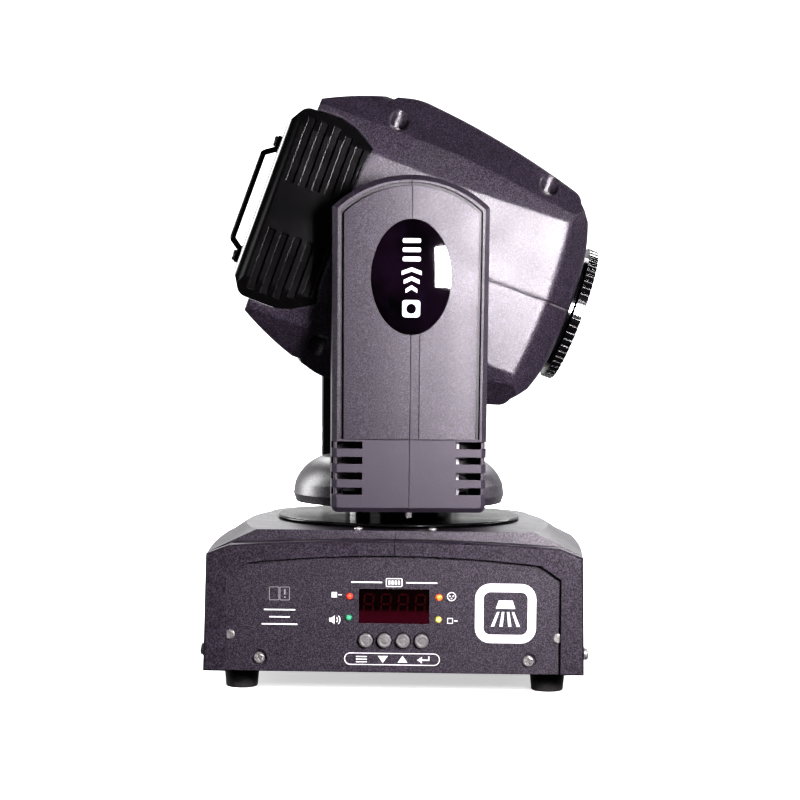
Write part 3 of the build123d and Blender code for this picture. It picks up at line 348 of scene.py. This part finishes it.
# Painted highlight, partly: the head's 3.5 mm edges give a wide pale rubbed band along its facets that also
# stands for the highlight on their crests.
head_look = moulded(
    "head_plastic", rgb(0.009, 0.0070, 0.0105), rgb(0.115, 0.094, 0.130), WORN, 0.32, 1.0, 0.10,
    edge_mm=3.5, rub_and_sheen_most=0.25,
)
SPECIAL_LOOKS = {
    "_arm_shell_": arm_look,
    "head_shell_": head_look,
    "arm_badges": badge_resin("badge_resin"),
}
for node, piece in NODES.items():
    slot = piece.material_slots[0].material.name.split(".")[0]
    look = next((own for part, own in SPECIAL_LOOKS.items() if part in node), LOOKS[slot])
    piece.data.materials.clear()
    piece.data.materials.append(look)


# ------------------------------------------------------------------ pieces


def finish_piece(piece, body, look, stands_for=()):
    piece.data.materials.clear()
    piece.data.materials.append(look)
    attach(piece, body)
    if stands_for:
        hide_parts(*stands_for)
    return piece


def mesh_piece(name, verts, faces, smooth_angle=35):
    mesh = bpy.data.meshes.new(name)
    mesh.from_pydata(verts, [], faces)
    mesh.validate()
    piece = bpy.data.objects.new(name, mesh)
    bpy.context.scene.collection.objects.link(piece)
    mesh.shade_smooth()
    mesh.set_sharp_from_angle(angle=math.radians(smooth_angle))
    return piece


def turned(name, profile, place, steps=48):
    """A turned piece round the local Z of place: profile is (radius, height) in mm from foot to tip."""
    verts, faces = [], []
    for r, h in profile:
        for k in range(steps):
            a = 2 * math.pi * k / steps
            verts.append(place @ (Vector((r * math.cos(a), r * math.sin(a), h)) * MM))
    for ring in range(len(profile) - 1):
        for k in range(steps):
            a, b = ring * steps + k, ring * steps + (k + 1) % steps
            faces.append((a, b, b + steps, a + steps))
    faces.append(tuple(reversed(range(steps))))
    faces.append(tuple(range((len(profile) - 1) * steps, len(profile) * steps)))
    return mesh_piece(name, verts, faces)


def arc(cx, cy, r, start, end, steps):
    """Points of an arc in a profile, angles in degrees."""
    angles = [math.radians(start + (end - start) * k / steps) for k in range(steps + 1)]
    return [(cx + r * math.cos(a), cy + r * math.sin(a)) for a in angles]


FACING_FRONT = Matrix.Rotation(math.radians(90), 4, "X")


def at(x, y, z):
    """Place whose local Z points out of the control panel."""
    return Matrix.Translation(Vector((x, y, z))) @ FACING_FRONT


def middle(node):
    low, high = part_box(node)
    return (low + high) / 2, low, high


PANEL_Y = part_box("front_panel")[0].y

for button in ("menu", "down", "up", "enter"):
    centre, low, high = middle(f"button_{button}")
    front = (high.y - low.y) / MM
    profile = [(2.0, 0.0), (2.0, 2.7), (6.2, 2.75), (6.3, 2.9), (6.3, 3.5), (6.2, 3.7), (5.2, 3.75)]
    profile += arc(3.9, front - 1.4, 1.3, 0, 80, 6)
    profile += [(3.3, front - 0.05), (3.0, front - 0.16), (2.7, front - 0.30), (2.4, front - 0.30)]
    profile += [(2.1, front - 0.16), (1.5, front - 0.12), (0.6, front - 0.10)]
    cap = turned(f"cap_{button}", profile, at(centre.x, high.y, centre.z))
    finish_piece(cap, f"button_{button}", LOOKS["button"], [f"button_{button}"])

LED_COLOURS = {
    "red": (-32.0, 55.0, rgb(0.62, 0.008, 0.006), rgb(0.95, 0.20, 0.12), 0.25),
    "green": (-32.5, 39.6, rgb(0.012, 0.16, 0.07), rgb(0.16, 0.50, 0.30), 0.05),
    "orange": (32.4, 55.0, rgb(0.80, 0.07, 0.006), rgb(1.0, 0.46, 0.14), 0.35),
    "yellow": (32.0, 39.0, rgb(0.50, 0.42, 0.02), rgb(0.90, 0.86, 0.38), 0.12),
}
LED_R, LED_FLANGE_R, LED_BODY = 2.5, 2.9, 6.1
for colour, (x, z, deep, pale, glow) in LED_COLOURS.items():
    profile = [(LED_FLANGE_R, 0.0), (LED_FLANGE_R, 0.9), (LED_R, 1.0), (LED_R, 6.0)]
    profile += arc(0, LED_BODY, LED_R, 4, 84, 10)
    led = turned(f"led_{colour}", profile, at(x * MM, PANEL_Y + LED_BODY * MM, z * MM), 36)
    look = led_resin(f"led_{colour}", deep, pale, glow)
    finish_piece(led, "base", look, ["status_leds"])


# ------------------------------------------------------------------ flat artwork


class Artwork:
    """Closed outlines in mm on a plane; overlapping outlines cut holes in each other."""

    def __init__(self, name, thickness_mm):
        self.curve = bpy.data.curves.new(name, "CURVE")
        self.curve.dimensions = "2D"
        self.curve.fill_mode = "BOTH"
        self.curve.extrude = thickness_mm * MM / 2
        self.name = name

    def outline(self, points):
        spline = self.curve.splines.new("POLY")
        spline.points.add(len(points) - 1)
        for point, (x, y) in zip(spline.points, points):
            point.co = (x * MM, y * MM, 0, 1)
        spline.use_cyclic_u = True

    def disc(self, x, y, r, steps=40):
        self.outline(arc(x, y, r, 0, 360 - 360 / steps, steps - 1))

    def box(self, x0, y0, x1, y1, r=0.3):
        corners = ((x1 - r, y1 - r, 0), (x0 + r, y1 - r, 90), (x0 + r, y0 + r, 180), (x1 - r, y0 + r, 270))
        points = []
        for x, y, start in corners:
            points += arc(x, y, r, start, start + 90, 6)
        self.outline(points)

    def frame(self, x0, y0, x1, y1, r, stroke):
        self.box(x0, y0, x1, y1, r)
        self.box(x0 + stroke, y0 + stroke, x1 - stroke, y1 - stroke, max(r - stroke, 0.05))

    def band(self, x, y, r, start, end, stroke):
        """Part of a ring."""
        steps = 18
        self.outline(arc(x, y, r, start, end, steps) + arc(x, y, r - stroke, end, start, steps))

    def piece(self, place, body, look, slot, dome_mm=None):
        """dome_mm is the radius of the dome that the artwork lies on, highest at its middle."""
        drawing = bpy.data.objects.new(self.name + "_curve", self.curve)
        bpy.context.scene.collection.objects.link(drawing)
        bpy.context.view_layer.update()
        ready = drawing.evaluated_get(bpy.context.evaluated_depsgraph_get())
        mesh = bpy.data.meshes.new_from_object(ready)
        bpy.data.objects.remove(drawing)
        mesh.name = self.name
        if dome_mm:
            for vertex in mesh.vertices:
                x, y, z = vertex.co
                vertex.co.z = z + math.sqrt((dome_mm * MM) ** 2 - x * x - y * y) - dome_mm * MM
        mesh.transform(place)
        made = bpy.data.objects.new(self.name, mesh)
        bpy.context.scene.collection.objects.link(made)
        return finish_piece(made, body, look)


white_ink = print_ink("white_ink", rgb(0.86, 0.86, 0.85), rgb(0.45, 0.45, 0.45))
grey_ink = print_ink("grey_ink", rgb(0.34, 0.34, 0.34), rgb(0.15, 0.15, 0.15))
INK_MM = 0.08
PRINT_PLACE = at(0, PANEL_Y - INK_MM / 2 * MM, 0)

title = Artwork("panel_title", INK_MM)
title.frame(-6.0, 62.2, 6.0, 68.6, 1.0, 0.7)
for k in range(4):
    title.box(-4.2 + k * 2.3, 63.9, -2.7 + k * 2.3, 66.9, 0.2)
for side in (-1, 1):
    near, far = sorted((side * 8.5, side * 31))
    title.box(near, 64.9, far, 65.9, 0.45)
title.piece(PRINT_PLACE, "base", white_ink, "panel_paint")

signs = Artwork("panel_signs", INK_MM)
signs.box(-45.0, 54.1, -41.0, 58.1, 0.3)
signs.box(-40.2, 55.7, -37.6, 56.5, 0.2)
signs.outline([(-46.5, 36.6), (-45.0, 36.6), (-42.6, 34.8), (-42.6, 41.2), (-45.0, 39.4), (-46.5, 39.4)])
for r in (3.0, 4.8):
    signs.band(-43.2, 38.0, r, -42, 42, 0.7)
signs.disc(41.4, 55.8, 3.3)
signs.disc(41.4, 55.8, 2.6)
for dx, dy in ((-1.2, 0.3), (1.2, 0.3), (0, -1.3)):
    signs.disc(41.4 + dx, 55.8 + dy, 0.55, 16)
signs.frame(38.4, 36.2, 42.6, 40.4, 0.3, 0.65)
signs.box(43.4, 37.9, 46.0, 38.7, 0.2)
signs.piece(PRINT_PLACE, "base", white_ink, "panel_paint")

legend = Artwork("button_legend", INK_MM)
legend.frame(-35.5, 5.6, 33.5, 14.5, 4.4, 0.65)
for k in range(3):
    legend.box(-27.0, 7.5 + k * 1.9, -19.0, 8.3 + k * 1.9, 0.2)
legend.outline([(-11.2, 12.3), (-4.0, 12.3), (-7.6, 7.2)])
legend.outline([(3.0, 7.6), (10.2, 7.6), (6.6, 12.7)])
legend.outline([(17.0, 9.6), (20.6, 7.2), (20.6, 9.1), (26.0, 9.1), (26.0, 12.4),
                (25.0, 12.4), (25.0, 10.1), (20.6, 10.1), (20.6, 12.0)])
legend.piece(PRINT_PLACE, "base", white_ink, "panel_paint")

book = Artwork("manual_sign", INK_MM)
book.frame(-90.0, 51.6, -82.7, 61.4, 0.8, 0.45)
book.frame(-82.3, 51.6, -75.0, 61.4, 0.8, 0.45)
book.box(-79.2, 55.6, -78.1, 59.6, 0.3)
book.disc(-78.65, 53.9, 0.65, 16)
book.piece(PRINT_PLACE, "base", grey_ink, "panel_paint")

rules = Artwork("panel_rules", INK_MM)
for half, z in ((11.5, 44.8), (7.5, 39.6), (13.0, 34.4)):
    rules.box(-82.3 - half, z - 0.55, -82.3 + half, z + 0.55, 0.5)
rules.piece(PRINT_PLACE, "base", white_ink, "panel_paint")

mark = Artwork("lamp_mark", INK_MM)
mark.frame(58.3, 22.6, 102.3, 65.6, 11.0, 6.2)
mark.outline([(75.3, 53.5), (85.3, 53.5), (87.3, 47.5), (73.3, 47.5)])
for dx, tip in ((-8.5, -13.0), (-2.9, -4.4), (2.9, 4.4), (8.5, 13.0)):
    mid = 80.3 + dx * 0.62
    end = 80.3 + tip * 0.72
    mark.outline([(mid - 0.9, 45.2), (mid + 0.9, 45.2), (end + 1.2, 34.6), (end - 1.2, 34.6)])
mark.piece(PRINT_PLACE, "base", white_ink, "panel_paint")

# four seven-segment digits with all their segments, thin on the face of the display window
DIGIT_W, DIGIT_H, STROKE, DIGIT_PITCH = 7.4, 14.2, 1.25, 12.4
FIRST_DIGIT_X, DIGIT_FOOT_Z = -22.4, 42.6
SLANT = 0.06
DIGIT_THICK = 0.04


def leaned(left, z):
    """Where a digit's left side is at height z."""
    return left + (z - DIGIT_FOOT_Z) * SLANT


def flat_segment(art, left, z):
    x = leaned(left, z)
    art.outline([(x + 0.9, z), (x + 1.6, z + STROKE / 2), (x + DIGIT_W - 1.6, z + STROKE / 2),
                 (x + DIGIT_W - 0.9, z), (x + DIGIT_W - 1.6, z - STROKE / 2), (x + 1.6, z - STROKE / 2)])


def upright_segment(art, x, z0):
    z1 = z0 + DIGIT_H / 2
    x0, x1 = leaned(x, z0), leaned(x, z1)
    art.outline([(x0, z0 + 0.35), (x0 + STROKE / 2, z0 + 1.0), (x1 + STROKE / 2, z1 - 1.0),
                 (x1, z1 - 0.35), (x1 - STROKE / 2, z1 - 1.0), (x0 - STROKE / 2, z0 + 1.0)])


digits = Artwork("display_digits", DIGIT_THICK)
for k in range(4):
    left = FIRST_DIGIT_X + k * DIGIT_PITCH
    for halves in range(3):
        flat_segment(digits, left, DIGIT_FOOT_Z + halves * DIGIT_H / 2)
    for across in (0.45, DIGIT_W - 0.45):
        for z in (DIGIT_FOOT_Z, DIGIT_FOOT_Z + DIGIT_H / 2):
            upright_segment(digits, left + across, z)
    digits.disc(left + DIGIT_W + 1.3, DIGIT_FOOT_Z, 0.7, 16)
window_face_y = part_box("display_window")[0].y
digits.piece(at(0, window_face_y - DIGIT_THICK / 2 * MM, 0), "base", LOOKS["digits"], "digits")


# badge pictograms, on the domed faces of both arms
BADGE_INK_MM = 0.3


def badge_art(name):
    art = Artwork(name, BADGE_INK_MM)
    art.box(-6.5, -29.0, 6.5, -16.5, 2.4)
    art.disc(0, -22.8, 3.6)
    for k in range(3):
        half = 4.2 + k * 1.5
        y = -11.5 + k * 6.4
        art.outline([(-half, y), (0, y + 2.6), (half, y), (half, y + 3.0), (0, y + 5.6), (-half, y + 3.0)])
    for k in range(3):
        art.box(-6.6, 11.2 + k * 6.6, 6.6, 14.6 + k * 6.6, 1.2)
    return art


PAN_AT_REST = math.radians(5.0)
BADGE_Z = 285 * MM
BADGE_DOME_MM = 217
BADGE_FACE = 116.7 * MM
for arm, half_turn in (("near", 0.0), ("far", math.pi)):
    place = Matrix.Rotation(PAN_AT_REST + half_turn, 4, "Z") @ at(0, -BADGE_FACE, BADGE_Z)
    badge_art(f"{arm}_badge_sign").piece(place, "yoke", white_ink, "gloss_black", BADGE_DOME_MM)


# ------------------------------------------------------------------ lens and sockets

TILT_AT_REST = math.radians(19.5)
TILT_AXIS_Z = 305.3 * MM
LENS_SEAT_X = 110.3 * MM
HEAD = (
    Matrix.Rotation(PAN_AT_REST, 4, "Z")
    @ Matrix.Translation(Vector((0, 0, TILT_AXIS_Z)))
    @ Matrix.Rotation(TILT_AT_REST, 4, "Y")
)
ALONG_BEAM = Matrix.Rotation(math.radians(90), 4, "Y")
dome = [(37.4 * math.cos(a), 4.0 + 8.6 * math.sin(a)) for a in [math.radians(k * 6) for k in range(15)]]
lens = turned(
    "objective_lens",
    [(30.0, 0.0), (36.6, 0.2), (37.4, 1.0)] + dome,
    HEAD @ Matrix.Translation(Vector((LENS_SEAT_X, 0, 0))) @ ALONG_BEAM,
    96,
)
finish_piece(lens, "lens_barrel", LOOKS["lens_glass"], ["front_lens"])

FACING_REAR = Matrix.Rotation(math.radians(-90), 4, "X")
SOCKET_X, SOCKET_Z, PIN_FOOT_Y = -38.0, 36.0, 109.2
PIN_RING, PIN_R = 3.6, 1.32
for k in range(3):
    angle = math.radians(180 + 90 * k)
    x, z = SOCKET_X + PIN_RING * math.cos(angle), SOCKET_Z + PIN_RING * math.sin(angle)
    place = Matrix.Translation(Vector((x, PIN_FOOT_Y, z)) * MM) @ FACING_REAR
    profile = [(PIN_R, 0), (PIN_R, 12.2)] + arc(0, 12.4, PIN_R, 10, 80, 6)
    pin = turned(f"xlr_pin_{k + 1}", profile, place, 24)
    finish_piece(pin, "base", LOOKS["nickel"])


# ------------------------------------------------------------------ stage


def lit_from(name, place, target, width, height, power, tint):
    lamp = bpy.data.lights.new(name, "AREA")
    lamp.shape = "RECTANGLE"
    lamp.size, lamp.size_y, lamp.energy, lamp.color = width, height, power, tint
    holder = bpy.data.objects.new(name, lamp)
    holder.location = place
    holder.rotation_euler = (Vector(target) - Vector(place)).to_track_quat("-Z", "Y").to_euler()
    bpy.context.scene.collection.objects.link(holder)
    return holder


# name, place, target, width, height, watts, tint, seen in reflections
WHITE = (1.0, 1.0, 1.0)
LIGHTS = (
    ("softbox_right", (0.37, -0.88, 0.36), (0.05, -0.05, 0.30), 0.16, 0.26, 14.0, (1.0, 0.95, 1.0), True),
    ("softbox_left", (-1.3, -1.1, 0.5), (0, 0, 0.2), 0.7, 0.7, 3.0, WHITE, True),
    ("front_fill", (-0.2, -2.6, 0.55), (0, 0, 0.15), 1.4, 0.8, 7.0, WHITE, False),
    ("backdrop_glow", (0.2, 2.0, 1.7), (0, 0, 0.0), 2.6, 1.2, 70.0, WHITE, True),
    ("side_right", (1.9, 0.5, 0.9), (0, 0, 0.2), 0.8, 0.8, 16.0, WHITE, True),
    ("side_back", (0.2, 2.0, 0.6), (0, 0, 0.2), 0.9, 0.6, 14.0, WHITE, False),
    ("rim_left", (-1.1, 0.5, 0.5), (0, 0, 0.25), 0.5, 0.9, 14.0, WHITE, True),
)
for *settings, reflected in LIGHTS:
    lit_from(*settings).visible_glossy = reflected


def paper_look():
    """Pale paper with a painted glow, stronger the farther it is from the middle, so the paper round the
    piece is darker, like a lit backdrop.
    """
    t = Tree("paper")
    fibre = t.noise(60, 3.0)
    t.shade(Base_Color=t.mix(fibre, rgb(0.88, 0.88, 0.88), rgb(0.92, 0.92, 0.92)), Roughness=0.6)
    distance = t.add("VectorMath", {}, operation="LENGTH")
    t.put(distance.inputs[0], t.coords)
    painted_floor_glow = t.remap(distance.outputs["Value"], 0.35, 1.3, 0.42, 1.0, True)
    t.shade(Specular_IOR_Level=0.2, Emission_Color=rgb(1, 1, 1), Emission_Strength=painted_floor_glow)
    return t.material


FLOOR_HALF = 30.0
floor_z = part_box("rubber_feet")[0].z
floor_mesh = bpy.data.meshes.new("floor")
corners = ((-1, -1), (1, -1), (1, 1), (-1, 1))
floor_mesh.from_pydata([(x * FLOOR_HALF, y * FLOOR_HALF, floor_z) for x, y in corners], [], [(0, 1, 2, 3)])
floor = bpy.data.objects.new("floor", floor_mesh)
bpy.context.scene.collection.objects.link(floor)
floor.data.materials.append(paper_look())
floor.visible_diffuse = False
floor.visible_glossy = False

# The room: bright where the camera sees it, and for the piece a glow low down behind it.
world = bpy.data.worlds.new("studio")
bpy.context.scene.world = world
world.use_nodes = True
sky = world.node_tree
background = sky.nodes["Background"]
direction = sky.nodes.new("ShaderNodeTexCoord").outputs["Generated"]
split = sky.nodes.new("ShaderNodeSeparateXYZ")
sky.links.new(direction, split.inputs["Vector"])


def world_range(value, low, high, to_low, to_high):
    node = sky.nodes.new("ShaderNodeMapRange")
    node.interpolation_type = "SMOOTHSTEP"
    sky.links.new(value, node.inputs["Value"])
    for key, number in zip(("From Min", "From Max", "To Min", "To Max"), (low, high, to_low, to_high)):
        node.inputs[key].default_value = number
    return node.outputs["Result"]


SEEN_STRENGTH = 1.35
back = world_range(split.outputs["Y"], 0.1, 0.9, 0.01, 0.60)
overhead = world_range(split.outputs["Z"], 0.22, 0.75, 1.0, 0.05)
product = sky.nodes.new("ShaderNodeMath")
product.operation = "MULTIPLY"
sky.links.new(back, product.inputs[0])
sky.links.new(overhead, product.inputs[1])
choice = sky.nodes.new("ShaderNodeMix")
choice.inputs["B"].default_value = SEEN_STRENGTH
sky.links.new(sky.nodes.new("ShaderNodeLightPath").outputs["Is Camera Ray"], choice.inputs["Factor"])
sky.links.new(product.outputs["Value"], choice.inputs["A"])
sky.links.new(choice.outputs["Result"], background.inputs["Strength"])
background.inputs["Color"].default_value = rgb(1, 1, 1)

# camera at the photograph's angle
LOOK_SIDE, LOOK_DOWN, LOOK_ROLL = math.radians(1.24), math.radians(2.304), math.radians(0.6)
CAMERA_PLACE = Vector((0.041326, -1.89955, 0.26839))
camera_data = bpy.data.cameras.new("camera")
camera_data.sensor_width = 36.0
camera_data.lens = 111.8
camera = bpy.data.objects.new("camera", camera_data)
level = Vector((math.cos(LOOK_SIDE), math.sin(LOOK_SIDE), 0))
ahead = Vector((-math.sin(LOOK_SIDE), math.cos(LOOK_SIDE), 0))
forward = ahead * math.cos(LOOK_DOWN) - Vector((0, 0, math.sin(LOOK_DOWN)))
above = level.cross(forward)
right = level * math.cos(LOOK_ROLL) + above * math.sin(LOOK_ROLL)
up = above * math.cos(LOOK_ROLL) - level * math.sin(LOOK_ROLL)
turn = Matrix((right, up, -forward)).transposed().to_4x4()
camera.matrix_world = Matrix.Translation(CAMERA_PLACE) @ turn
bpy.context.scene.collection.objects.link(camera)
bpy.context.scene.camera = camera
bpy.context.scene.view_settings.view_transform = "Standard"
bpy.context.scene.view_settings.look = "High Contrast"
